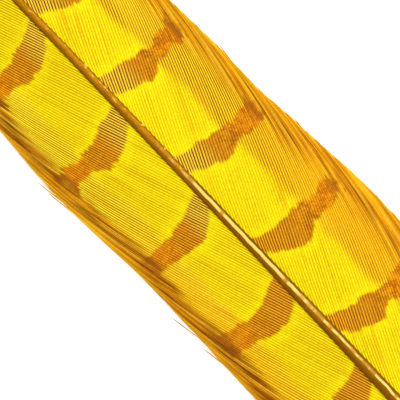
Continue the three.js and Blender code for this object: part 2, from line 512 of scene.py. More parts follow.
def make_vane(law, name):
    """All barbs of one vane as one mesh, with a few hairs that split off from the fringe."""
    generator = np.random.default_rng(law.seed)
    roots = barb_roots(law, generator)
    barbs = len(roots)
    share, run = law.course()
    sweep = barb_sweeps(roots)
    ends = barb_ends(law, roots, sweep, run[-1])
    unevenness = generator.uniform(-1, 1, barbs)
    ends *= 1 + EDGE_UNEVENNESS * unevenness + EDGE_WAVES * soft_noise(generator, barbs, barbs // 8)
    # the last barbs lie along the middle line, so that no slit is left behind the shaft's end
    narrowing = 1 - TIP_NARROWING * smoothstep(0.6, 1.0, closing_share(roots))
    ends *= narrowing
    sweep /= narrowing
    pull = clump_pulls(law, roots, generator)
    drift = soft_noise(generator, barbs, barbs // 3)
    ripple = soft_noise(generator, barbs, barbs // 14)
    ragged = BARB_RAGGED * generator.uniform(-1, 1, barbs)
    ragged = ragged + STRETCH_RAGGED * soft_noise(generator, barbs, barbs // 4)
    wave_rate, wave_start = generator.uniform(5, 9, barbs), generator.uniform(0, 6.3, barbs)
    tone = generator.uniform(0, 1, barbs)

    # a row for every barb, then a row for every hair, which follows the barb that it belongs to
    owner = np.concatenate([np.arange(barbs), generator.choice(barbs, law.hairs, replace=False)])
    hair = (np.arange(len(owner)) >= barbs).astype(float)[:, None]
    outward = hair * generator.uniform(*HAIR_REACH, (len(owner), 1))
    roots, sweep, ends, pull, drift, ripple = (
        value[owner][:, None] for value in (roots, sweep, ends, pull, drift, ripple)
    )
    unevenness, ragged, wave_rate, wave_start, tone = (
        value[owner][:, None] for value in (unevenness, ragged, wave_rate, wave_start, tone)
    )
    steps = min(STEPS_PER_BARB, int(MOST_TRIANGLES / len(owner) / TRIANGLES_PER_STEP))
    # steps are spread by the length of the barb, most of which runs along the shaft
    travel = hair * HAIR_START + (1 - hair * HAIR_START) * np.linspace(0, 1, steps)[None, :]
    depth = 0.7 - 0.5 * closing_share(roots)       # barbs start inside the shaft
    buried = np.minimum(SHAFT.radius(roots) * depth / ends, 0.6 - 0.58 * closing_share(roots))
    first_run = np.interp(buried, share, run)
    reached = np.interp(first_run + travel * (run[-1] - first_run), run, share)
    along = (np.interp(reached, share, run) - first_run) * ends * sweep
    hair_tips = np.broadcast_to(2.2 * smoothstep(0.88, 0.97, travel[barbs:]), (law.hairs, steps))
    parting = np.concatenate([partings(reached[:barbs], generator), hair_tips])
    lateral = reached * ends
    station = roots + along + pull * smoothstep(0.7, 1.0, reached)
    # in the fringe barbs drift a little apart, and meet again at the rim
    apart = smoothstep(0.75, 0.92, reached) * (1 - smoothstep(0.92, 1.0, reached))
    lateral = lateral + FRINGE_DRIFT * drift * apart
    # downy barbs next to the quill wave and spread
    loose = 1 - smoothstep(VANE_START, VANE_START + LOOSE_STRETCH, roots)
    wave = np.sin(travel * wave_rate + wave_start)
    lateral = lateral + loose * wave * smoothstep(0.3, 1.0, reached)
    lateral = lateral + outward * np.clip((travel - HAIR_START) / (1 - HAIR_START), 0, 1) ** 1.4

    z = law.profile.height(station, lateral)
    z = z + RIPPLE * ripple * smoothstep(0.15, 0.7, reached)
    z = z + TIP_RISE * unevenness * smoothstep(0.6, 1.0, reached)
    z = z + loose * (0.5 + 0.5 * wave) * LOOSE_RISE * smoothstep(0.3, 1.0, reached)
    z = np.maximum(z, LEAST_HEIGHT)
    y = SHAFT.middle(station) + law.profile.side * lateral
    paths = np.stack([station + QUILL_X, y, z], axis=-1)
    _, level, upward = frames_along(paths)
    level = level * np.sign(level[..., :1])     # sideways points to the tip side of every barb

    neighbour = paths[1:barbs] - paths[:barbs - 1]
    spacing = np.abs((neighbour * level[:barbs - 1]).sum(axis=-1))
    spacing = np.minimum(np.concatenate([spacing, spacing[-1:]]), MOST_SPACING)
    cover = WEB_COVER + (law.fringe_cover - WEB_COVER) * smoothstep(0.78, 0.92, reached[:barbs])
    half = np.clip(spacing * cover / 2, *HALF_WIDTHS)
    half = np.concatenate([half, np.full((law.hairs, steps), HAIR_HALF_WIDTH)])
    taper = 1 - smoothstep(TAPER_START, 1.0, travel) * TAPER
    half = half * taper
    section, across, underside, bands = barb_section(law.profile.side, half, taper, reached)
    width = law.profile.reach(station)
    # beside the shaft a bar has an even edge, and in the fringe it frays along the barbs
    fraying = smoothstep(2, 9, lateral) + 3.5 * smoothstep(0.77, 0.9, reached)
    bars = bar_field(law, station, lateral, width) + ragged * fraying
    values = {
        "across": across,
        "underside": underside,
        "share": np.clip(lateral / np.maximum(width, 0.5), 0, 1.2)[..., None],
        "bar": bars[..., None],
        "strand": tone[..., None],
        "parting": parting[..., None],
    }
    maps = {
        "feather": np.stack([station, lateral], axis=-1) / LENGTH,
        "barb": np.stack(np.broadcast_arrays(roots, along), axis=-1) / LENGTH,
    }
    return strand_object(name, Strands(paths, level, upward, section), maps, values, bands, columns=3)


# ---------------------------------------------------------------- shaft

RING_SIDES = 24
RING_GAP = 4.5
END_STRETCH = 4            # rings stand closer on this first and last stretch
RADIUS_UNEVENNESS = 0.012  # most that a ring is thinner than the solid
GROOVE_START = 58          # the underside of the shaft is grooved from here to the tip
GROOVE_FULL = 86
GROOVE_DEPTH = 0.5         # in radii
QUILL_WALL = 0.35
QUILL_DEPTH = 12
GROOVE_PRESSES = ((0.5, 0.4), (0.2, 0.6))  # half width of each press in radii, and its share
QUILL_MOUTH = 1            # the hole in the quill has a first ring at this depth
BAKE_STRIPS = 9            # the shaft's bake map lies in strips, the last of them for the ends
HOLE_START, HOLE_LENGTH = 0.3, 0.5     # place of the hole's wall in that last strip
RIM_SLOT, FLOOR_SLOT, TIP_SLOT = 0.05, 0.12, 0.19  # places of the quill's rim, its hole's end, the tip
SLOT_SCALES = (0.012, 0.12)            # size there of a millimetre, along the strip and across it
SAME_PLACE = 1e-5          # metres


def ring_stations():
    """Stations of the shaft's rings, closer together at both ends."""
    quill = np.linspace(0, END_STRETCH, 5)
    tip = SHAFT_LENGTH - np.array([END_STRETCH, 2.4, 1.2, 0.4, 0])
    return np.concatenate([quill, np.arange(quill[-1] + RING_GAP, tip[0] - 1, RING_GAP), tip])


def select_only(mesh, chosen):
    """In edit mode, selects just the vertices or faces for which chosen(element) is true."""
    bpy.ops.mesh.select_all(action="DESELECT")
    shape = bmesh.from_edit_mesh(mesh)
    elements = shape.faces if bpy.context.tool_settings.mesh_select_mode[2] else shape.verts
    for element in elements:
        if chosen(element):
            element.select_set(True)
    shape.select_flush(True)
    bmesh.update_edit_mesh(mesh)


def across_shaft(place):
    """The test for faces that stand across the shaft at a place along X, in metres."""
    return lambda face: all(abs(vert.co.x - place) < SAME_PLACE for vert in face.verts)


def draw_out_shaft(piece, generator):
    """In edit mode, extrudes the quill's ring from station to station up to the tip."""
    stations = ring_stations()
    uneven = 1 - RADIUS_UNEVENNESS * generator.uniform(0, 1, len(stations))
    radii = SHAFT.radius(stations) * uneven
    for i in range(1, len(stations)):
        here, there = SHAFT.axis_point(stations[i - 1]), SHAFT.axis_point(stations[i])
        bpy.ops.mesh.extrude_region_move(TRANSFORM_OT_translate={"value": there - here})
        growth = radii[i] / radii[i - 1]
        bpy.ops.transform.resize(value=(1, growth, growth), center_override=there)
        if GROOVE_START < stations[i] < GROOVE_FULL:
            press_groove(piece.data, there, radii[i])


def press_groove(mesh, middle, radius):
    """Pushes the lowest corners of the ring up a little. The rings after it keep that shape."""
    push = GROOVE_DEPTH * radius * RING_GAP / (GROOVE_FULL - GROOVE_START) * MM
    bpy.ops.mesh.select_mode(type="VERT")
    for reach, share in GROOVE_PRESSES:
        select_only(mesh, lambda vert: abs(vert.co.x - middle.x) < SAME_PLACE
                    and abs(vert.co.y - middle.y) < reach * radius * MM and vert.co.z < middle.z)
        bpy.ops.transform.translate(value=(0, 0, push * share))
    bpy.ops.mesh.select_mode(type="FACE")
    select_only(mesh, across_shaft(middle.x))


def hollow_quill(piece):
    """In edit mode, opens the end of the quill into a blind hole with a thin wall."""
    select_only(piece.data, across_shaft(QUILL_X * MM))
    bpy.ops.mesh.inset(thickness=QUILL_WALL * MM)
    for depth in (QUILL_MOUTH, QUILL_DEPTH - QUILL_MOUTH):
        bpy.ops.mesh.extrude_region_move(TRANSFORM_OT_translate={"value": (depth * MM, 0, 0)})


def shaft_bake_map(mesh):
    """Lays the shaft's length out in strips of its own bake map, and its ends in the last strip."""
    layer = mesh.uv_layers.new(name="OFBake")
    stretch = SHAFT_LENGTH / (BAKE_STRIPS - 1)
    for face in mesh.polygons:
        centre = face.center / MM
        station = centre.x - QUILL_X
        middle = SHAFT.axis_point(station) / MM
        out = (centre - middle).yz
        facing_end = abs(face.normal.x) > 0.7
        inside = station < QUILL_DEPTH + 0.5 and out.length < SHAFT.radius(station) - QUILL_WALL * 0.6
        turn = math.atan2(out.y, out.x)
        strip = min(int(station / stretch), BAKE_STRIPS - 2)
        for loop in face.loop_indices:
            point = mesh.vertices[mesh.loops[loop].vertex_index].co / MM
            away = (point - middle).yz
            if facing_end:
                in_quill = RIM_SLOT if station < QUILL_MOUTH else FLOOR_SLOT
                slot = in_quill if station < SHAFT_LENGTH / 2 else TIP_SLOT
                u = slot + away.x * SLOT_SCALES[0]
                v = (BAKE_STRIPS - 0.5 + away.y * SLOT_SCALES[1]) / BAKE_STRIPS
            else:
                corner = math.atan2(away.y, away.x)
                corner = turn + (corner - turn + math.pi) % (2 * math.pi) - math.pi
                v = STRIP_FOOT + STRIP_HEIGHT * (corner + math.pi) / (2 * math.pi)
                if inside:
                    u = HOLE_START + HOLE_LENGTH * (point.x - QUILL_X) / QUILL_DEPTH
                    v = (BAKE_STRIPS - 1 + v) / BAKE_STRIPS
                else:
                    u = 0.02 + STRIP_LENGTH * (point.x - QUILL_X - strip * stretch) / stretch
                    v = (strip + v) / BAKE_STRIPS
            layer.data[loop].uv = (u, v)


def mark_shaft(mesh):
    """Point attributes for the horn's pattern: the station, and the places across and up in radii."""
    points = points_of(mesh)
    station = points[:, 0] - QUILL_X
    radius = np.maximum(SHAFT.radius(station), 0.1)
    mark_points(mesh, {
        "station": station,
        "cross": (SHAFT.middle(station) - points[:, 1]) / radius,
        "lift": (points[:, 2] - SHAFT.axis_height(station)) / radius,
    })


# ---------------------------------------------------------------- down

FILAMENTS = 38             # on each side of a plume
DOWN_STEPS = 14
FILAMENT_STEPS = 4
PLUME_SHARE = 0.12         # share of the down's bake map that the plumes' own stems take
PLUME_RUN = (6, 14)        # how far a stem runs towards the tip
LAST_PLUME_RUN = 8         # how much further it runs beside the vane's first barbs
LAST_PLUMES = 22           # stretch of the tuft over which that sets in
PLUME_REACH = (0.72, 1)    # how far out, as a share of the tuft's width
PLUME_TIP_HEIGHT = (0.3, 2.8)
PLUME_ARCH = (0, 1.2)
PLUME_WAVES = (0.5, 0.7)   # how far the tips wave sideways, and along the feather
STEM_HALF_WIDTH = 0.11
FILAMENT_LENGTH = (1.6, 3.4)
FILAMENT_SPREAD = (40, 72) # degrees from the stem
FILAMENT_LIFT = (-38, 38)  # degrees from level
FILAMENT_HALF_WIDTH = 0.045


def plume_paths(profile, generator, count):
    """Stems of the downy plumes, which lean towards the tip, wave and sink to the surface."""
    roots = np.sort(generator.uniform(DOWN_START + 1, DOWN_END + 12, count))[:, None]
    travel = np.linspace(0, 1, DOWN_STEPS)[None, :]
    forward = generator.uniform(*PLUME_RUN, (count, 1))
    forward = forward + LAST_PLUME_RUN * smoothstep(DOWN_END - LAST_PLUMES, DOWN_END, roots)
    station = roots + forward * travel ** 1.3
    half_way = np.clip(roots + forward * 0.6, DOWN_START + 3, DOWN_END)
    reach = profile.reach(half_way) * generator.uniform(*PLUME_REACH, (count, 1))
    first = SHAFT.radius(roots) * 0.7
    lateral = first + (reach - first) * travel ** 0.9
    phase = generator.uniform(0, 6.3, (count, 2))
    lateral = lateral + PLUME_WAVES[0] * travel * np.sin(travel * 7 + phase[:, :1])
    station = station + PLUME_WAVES[1] * travel * np.sin(travel * 8 + phase[:, 1:])
    low = generator.uniform(*PLUME_TIP_HEIGHT, (count, 1))
    arch = generator.uniform(*PLUME_ARCH, (count, 1))
    start = SHAFT.axis_height(roots) + generator.uniform(-0.5, 0.4, (count, 1)) * SHAFT.radius(roots)
    height = start + (low - start) * travel ** 0.8 + arch * np.sin(math.pi * travel)
    side = SHAFT.middle(station) + profile.side * lateral
    return np.stack([station + QUILL_X, side, height], axis=-1), travel


def filament_paths(stems, generator):
    """Fine filaments that stand out from both sides of every stem and droop."""
    count = len(stems)
    forward, level, upward = frames_along(stems)
    travel = np.linspace(0.1, 1, FILAMENTS)
    index = travel * (DOWN_STEPS - 1)
    before = np.minimum(index.astype(int), DOWN_STEPS - 2)
    blend = (index - before)[None, :, None]

    def between(values):
        return values[:, before] * (1 - blend) + values[:, before + 1] * blend

    base, ahead, aside, above = (
        between(values)[:, :, None, :] for values in (stems, forward, level, upward)
    )
    shape = (count, FILAMENTS, 2, 1)
    side = np.array([1.0, -1.0])[None, None, :, None]
    spread = np.radians(generator.uniform(*FILAMENT_SPREAD, shape))
    lift = np.radians(generator.uniform(*FILAMENT_LIFT, shape))
    length = generator.uniform(*FILAMENT_LENGTH, shape) * (1 - 0.55 * travel[None, :, None, None] ** 2)
    course = ahead * np.cos(spread) + aside * side * np.sin(spread) * np.cos(lift)
    course = course + above * np.sin(spread) * np.sin(lift)
    curl = ahead * generator.uniform(-0.1, 0.5, shape) + above * generator.uniform(-0.4, 0.1, shape)
    share = np.linspace(0, 1, FILAMENT_STEPS)[:, None]
    straight = (course * length)[..., None, :] * share
    bent = (curl * length)[..., None, :] * share ** 2
    return (base[..., None, :] + straight + bent).reshape(-1, FILAMENT_STEPS, 3)


def hair_strands(name, paths, half_width, travel, tone, window, columns):
    """Three-sided tapering hairs along the paths, kept just above the surface."""
    paths = paths.copy()
    paths[..., 2] = np.maximum(paths[..., 2], half_width * 1.2)
    _, level, upward = frames_along(paths)
    thickness = half_width * np.linspace(1, 0.3, paths.shape[1])[None, :] * np.ones(paths.shape[:2])
    keel = -0.5 * thickness
    section = ((-thickness, keel), (0 * thickness, thickness), (thickness, keel))
    values = {
        "travel": np.broadcast_to(travel, paths.shape[:2])[..., None],
        "strand": tone[:, None, None],
    }
    strands = Strands(paths, level, upward, section)
    return strand_object(name, strands, {}, values, (1 / 3, 1 / 3, 1 / 3), columns, window)


def make_down(profile, name, count, seed):
    """One tuft: plume stems and their filaments, joined in one mesh."""
    generator = np.random.default_rng(seed)
    stems, travel = plume_paths(profile, generator, count)
    filaments = filament_paths(stems, generator)
    tone = generator.uniform(0, 1, count)
    stem_piece = hair_strands(name, stems, STEM_HALF_WIDTH, travel, tone, (0.0, PLUME_SHARE), 2)
    outward = np.linspace(0.3, 1.0, FILAMENT_STEPS)[None, :]
    tone = generator.uniform(0, 1, len(filaments))
    fine_piece = hair_strands(
        name + "_filaments", filaments, FILAMENT_HALF_WIDTH, outward, tone, (PLUME_SHARE, 1.0), 20)
    bpy.ops.object.select_all(action="DESELECT")
    fine_piece.select_set(True)
    stem_piece.select_set(True)
    bpy.context.view_layer.objects.active = stem_piece
    bpy.ops.object.join()
    return stem_piece


# ---------------------------------------------------------------- materials

# Sizes of the surfaces' patterns, in millimetres
DYE_PATCH = 11.5           # broad patches where the dye took more or less
LINE_PATCH = 15            # stretches of barbs whose webs are darker
SMEAR = 7.5                # places where the dye ran along a few barbs
BLOTCH = 2.2               # blotches of pigment that fray a bar's edge
SPECKLE = 0.5              # pigment speckles in a bar
SEAM_RUN = 3.8             # stretches over which a seam in the fringe comes and goes
WEDGE = 3.4                # dark wedges of painted shade between groups of barbs
BARBULE = 0.5              # barbules stand 0.05 apart, and are drawn ten times as coarse, to show
STRIPE_WANDER = 2.9        # waves in the edges of the shaft's pale stripe
HORN_MOTTLE = 1.4          # dark mottling of the golden horn
FADE_PATCH = 8.3           # patches in which the stripe fades out
KNOT_GAP = 4.5             # distance between shallow knots that may break the stripe
NICK_GAP = 1.9             # the same for small nicks in it
BEAD = 1.0                 # painted glints along the top of the shaft
SCRATCH = 0.33             # fine scratches are 0.05 apart, and are drawn coarser, to show
SCRATCH_DEPTH = 0.05
FLOOR_GRAIN = 1000 / 60    # of the board under the feather

# Stations between which colours change, from the quill to the tip
BARE_QUILL = (30, 95)      # the bare quill's pale horn turns into the stained horn
STRIPE_NARROW = (182, 194) # the stripe is at its narrowest, and at its full width
NICKED = (190, 212)        # the last nicks in the stripe
ORANGE = (214, 238)        # the outer half took less and less of the orange
STRIPE_END = (248, 264)    # the stripe fades out
KERATIN_IOR = 1.55

MIX_COLOURS = {"data_type": "RGBA", "out": "Result"}

# How each vane took the dye. Places across are shares of the vane's width.
BARB_LOOKS = {
    "right": {
        "zone_edge": 0.48,             # where the plain inner zone ends and the lined outer one starts
        "contrasts": (0.8, 1.05),      # of webs against ribs, in the inner zone and in the outer one
        "fringe": (0.74, 0.88),        # where the fringe starts, and where it is full
        "wedges": (0.0, 0.4),          # least and most painted shade where seams run together
        "glints": 0.7,                 # how strongly a painted highlight lights one barb of each group
        "bar_contrasts": (1.05, 0.55), # of webs against ribs in a bar, by the shaft and further out
        "bar_fade": (0.81, 0.9),       # where a bar's outer end starts to fade, and where it is gone
    },
    "left": {
        "zone_edge": 0.56,
        "contrasts": (1.1, 0.86),
        "fringe": (0.78, 0.85),
        "wedges": (0.15, 0.9),
        "glints": 1.0,
        "bar_contrasts": (1.15, 1.1),
        "bar_fade": (0.82, 0.92),
    },
}
BAR_PLACES = ((0.2, "root"), (0.36, "middle"), (0.52, "middle"), (0.63, "outer"), (0.76, "outer"))
BAR_END = 0.81
BROWN_TO_SHAFT = 0.34      # near the quill a bar is as brown by the shaft as it is here
RIM_START, RIM = 0.95, 0.985


def linear(hex_colour):
    """An sRGB hex colour as linear red, green, blue and full opacity."""
    channels = [int(hex_colour[i:i + 2], 16) / 255 for i in (0, 2, 4)]
    return [c / 12.92 if c <= 0.04045 else ((c + 0.055) / 1.055) ** 2.4 for c in channels] + [1.0]


def add_node(tree, kind, inputs=(), out=0, stops=(), **settings):
    """Adds a node, with its settings and a ramp's (place, colour) stops. The inputs, in order or by
    name, are values or links. Returns one of the node's outputs."""
    node = tree.nodes.new("ShaderNode" + kind)
    for key, value in settings.items():
        setattr(node, key, value)
    for i, (place, colour) in enumerate(stops):
        if i == 0:
            node.color_ramp.elements.remove(node.color_ramp.elements[1])
        stop = node.color_ramp.elements.new(place) if i else node.color_ramp.elements[0]
        stop.position = place
        stop.color = colour
    for key, value in inputs.items() if isinstance(inputs, dict) else enumerate(inputs):
        if isinstance(value, bpy.types.NodeSocket):
            tree.links.new(value, node.inputs[key])
        else:
            node.inputs[key].default_value = value
    return node.outputs[out] if node.outputs else None


def tint(colours, name):
    """One of the feather's colours, at full opacity."""
    return (*getattr(colours, name), 1)


def stops_of(colours, *stops):
    """A ramp's stops, from places and names of the feather's colours."""
    return [(place, tint(colours, name)) for place, name in stops]


def new_material(name):
    """An empty node material, its tree, and the function that adds nodes to it."""
    material = bpy.data.materials.new(name)
    material.use_nodes = True
    material.node_tree.nodes.clear()
    return material, partial(add_node, material.node_tree)


def barb_material(colours, side, zone_edge, contrasts, fringe, wedges, glints, bar_contrasts, bar_fade):
    """Dyed keratin barbs: matt webs with a faint silk, each with a paler rib, under brown bars that the
    dye doesn't cover. To the eye, fine parallel lines that stand out more in the bars and the fringe."""
    material, node = new_material("Dyed keratin barbs, " + side)
    share, across, strand, parting, bar, underside = (
        node("Attribute", attribute_name=key, out="Fac")
        for key in ("share", "across", "strand", "parting", "bar", "underside"))
    place = node("UVMap", uv_map="feather")
    barb = node("UVMap", uv_map="barb")

    # noise that is drawn out along the barbs
    lines, smear, uneven, wedge = (
        node("TexNoise", {
            "Vector": node("Mapping", {"Vector": barb, "Scale": (across_barbs, along_barbs, 1)}),
            "Scale": LENGTH / size, "Detail": detail})
        for across_barbs, along_barbs, size, detail in (
            (1, 0.5, LINE_PATCH, 2), (1.6, 0.35, SMEAR, 2), (1, 0.3, SEAM_RUN, 1), (1, 0.22, WEDGE, 2)))

    # broad patches where the dye took more or less, which shift the zones across the vane
    patch = node("TexNoise", {"Vector": place, "Scale": LENGTH / DYE_PATCH, "Detail": 2})
    patch = node("Math", [patch, 0.5], operation="SUBTRACT")
    zone = node("Math", [patch, 0.16, share], operation="MULTIPLY_ADD")
    zone_end = zone_edge + 0.06
    rib, web = (
        node("ValToRGB", [zone], stops=stops_of(
            colours, (zone_edge, "inner_" + part), (zone_end, f"{side}_outer_{part}"),
            (fringe[0], f"{side}_outer_{part}"), (fringe[1], f"{side}_fringe_{part}"),
            (RIM_START, f"{side}_fringe_{part}"), (RIM, "rim")))
        for part in ("rib", "web"))

    # the web is the outer part of a barb, with a soft edge. It is darker in some patches, and in the
    # inner zone it is fainter right beside a bar
    from_rib = node("Math", [across], operation="ABSOLUTE")
    on_web = node("MapRange", [from_rib, 0.25, 0.85], interpolation_type="SMOOTHSTEP")
    contrast = node("MapRange", [lines, 0.35, 0.65, 0.65, 1.25])
    beside_bar = node("MapRange", [bar, -3.5, -0.5, 1.0, 0.5], interpolation_type="SMOOTHSTEP")
    in_outer = node("MapRange", [zone, zone_edge, zone_end])
    inner = node("Math", [beside_bar, in_outer], operation="MAXIMUM")
    contrast = node("Math", [contrast, inner], operation="MULTIPLY")
    outer = node("MapRange", [in_outer, 0, 1, *contrasts])
    in_fringe = node("MapRange", [zone, fringe[0] - 0.02, fringe[1]])
    outer = node("Math", [outer, in_fringe], operation="MAXIMUM")
    contrast = node("Math", [contrast, outer], operation="MULTIPLY")
    web_share = node("Math", [on_web, contrast], operation="MULTIPLY")
    plain = node("Mix", {"Factor": web_share, "A": rib, "B": web}, **MIX_COLOURS)
    smear = node("MapRange", [smear, 0.6, 0.74, 0, 0.4])
    plain = node("Mix", {"Factor": smear, "A": plain, "B": tint(colours, "smear")}, **MIX_COLOURS)

    # in the fringe barbs lie in little groups. Painted shade draws dark lines between them, which run
    #     together in wedges, and a painted highlight lights one barb of each group. The same dark colour
    #     darkens the tips of the loose hairs
    uneven = node("MapRange", [uneven, 0.35, 0.6, 0.45, 1.0])
    line = node("Math", [parting, uneven], operation="MULTIPLY", use_clamp=True)
    wedge = node("MapRange", [wedge, 0.5, 0.64, *wedges])
    streak = node("Math", [line, wedge], operation="MAXIMUM")
    streak = node("Math", [streak, in_fringe], operation="MULTIPLY")
    towards_rim = node("MapRange", [share, 0.93, 1.0, 1.0, 0.35])
    streak = node("Math", [streak, towards_rim], operation="MULTIPLY", use_clamp=True)
    glint = node("MapRange", [parting, -1, 0, glints, 0])
    glint = node("Math", [glint, in_fringe], operation="MULTIPLY")
    plain = node("Mix", {"Factor": glint, "A": plain, "B": tint(colours, "glint")}, **MIX_COLOURS)

    # towards the quill the outer half took more of the orange, which dulls its lines, and so did the
    # fringe
    station = node("SeparateXYZ", [place])
    to_quill = node("MapRange", [station, ORANGE[1] / LENGTH, ORANGE[0] / LENGTH])
    stained = node("MapRange", [zone, zone_edge - 0.06, zone_edge + 0.2, 0.0, 0.42])
    strength = node("Math", [in_fringe, 0.4, to_quill], operation="MULTIPLY_ADD", use_clamp=True)
    stained = node("Math", [stained, strength], operation="MULTIPLY")
    stain = node("ValToRGB", [zone], stops=stops_of(
        colours, (fringe[0], "outer_stain"), (fringe[1], f"{side}_fringe_stain")))
    plain = node("Mix", {"Factor": stained, "A": plain, "B": stain}, **MIX_COLOURS)

    # blotches of pigment blur and fray the bars' edges and ends, and mottle their outer half
    blotch = node("TexNoise", {"Vector": place, "Scale": LENGTH / BLOTCH, "Detail": 3})
    frayed = node("Math", [blotch, 1.6, bar], operation="MULTIPLY_ADD")
    in_bar = node("MapRange", [frayed, 0.45, 1.35], interpolation_type="SMOOTHSTEP")
    bar_end = node("Math", [blotch, 0.5], operation="SUBTRACT")
    bar_end = node("Math", [bar_end, 0.2, share], operation="MULTIPLY_ADD")
    bar_end = node("MapRange", [bar_end, *bar_fade, 1.0, 0.0])
    in_bar = node("Math", [in_bar, bar_end], operation="MULTIPLY")
    speckle = node("TexNoise", {"Vector": place, "Scale": LENGTH / SPECKLE, "Detail": 2})
    speckle = node("Math", [speckle, blotch], operation="ADD")
    speckle = node("MapRange", [speckle, 0.75, 1.25, -0.55, 0.55])
    speckled = node("MapRange", [share, 0.3, 0.6])
    speckle = node("Math", [speckle, speckled], operation="MULTIPLY")
    lined = node("Math", [on_web, 0.5], operation="SUBTRACT")
    contrast = node("MapRange", [share, 0.2, 0.36, *bar_contrasts])
    lined = node("Math", [lined, contrast, speckle], operation="MULTIPLY_ADD")
    lined = node("Math", [lined, 0.5], operation="ADD", use_clamp=True)
    # towards the quill a bar is brown right up to the shaft
    brown = node("Math", [to_quill, BROWN_TO_SHAFT], operation="MULTIPLY")
    brown = node("Math", [share, brown], operation="MAXIMUM")
    bar_rib, bar_web = (
        node("ValToRGB", [brown], stops=stops_of(
            colours, *((stop, f"bar_{zone_name}_{part}") for stop, zone_name in BAR_PLACES),
            (BAR_END, "bar_end")))
        for part in ("rib", "web"))
    barred = node("Mix", {"Factor": lined, "A": bar_rib, "B": bar_web}, **MIX_COLOURS)
    colour = node("Mix", {"Factor": in_bar, "A": plain, "B": barred}, **MIX_COLOURS)
    # painted shade in the seams of the fringe, which also darkens the tips of the loose hairs
    colour = node("Mix", {"Factor": streak, "A": colour, "B": tint(colours, "streak")}, **MIX_COLOURS)

    # each barb took the dye a little differently, most of all in the fringe
    spread = node("MapRange", [share, 0.7, 0.9, 0.12, 0.4])
    shade = node("Math", [strand, 0.5], operation="SUBTRACT")
    shade = node("Math", [shade, spread, 0.98], operation="MULTIPLY_ADD")
    fine = node("TexNoise", {"Vector": barb, "Scale": LENGTH / BARBULE, "Detail": 2})
    fine = node("MapRange", [fine, 0.3, 0.7, 0.9, 1.1])
    shade = node("Math", [shade, fine], operation="MULTIPLY")
    colour = node("VectorMath", {0: colour, "Scale": shade}, operation="SCALE")
    # the underside is paler, as the dye lies thinner there
    below = node("Math", [underside, 0.25], operation="MULTIPLY")
    colour = node("Mix", {"Factor": below, "A": colour, "B": tint(colours, "underside")}, **MIX_COLOURS)
    shader = node("BsdfPrincipled", {
        "Base Color": colour, "Roughness": 0.6, "IOR": KERATIN_IOR, "Specular IOR Level": 0.05})
    node("OutputMaterial", {"Surface": shader})
    return material


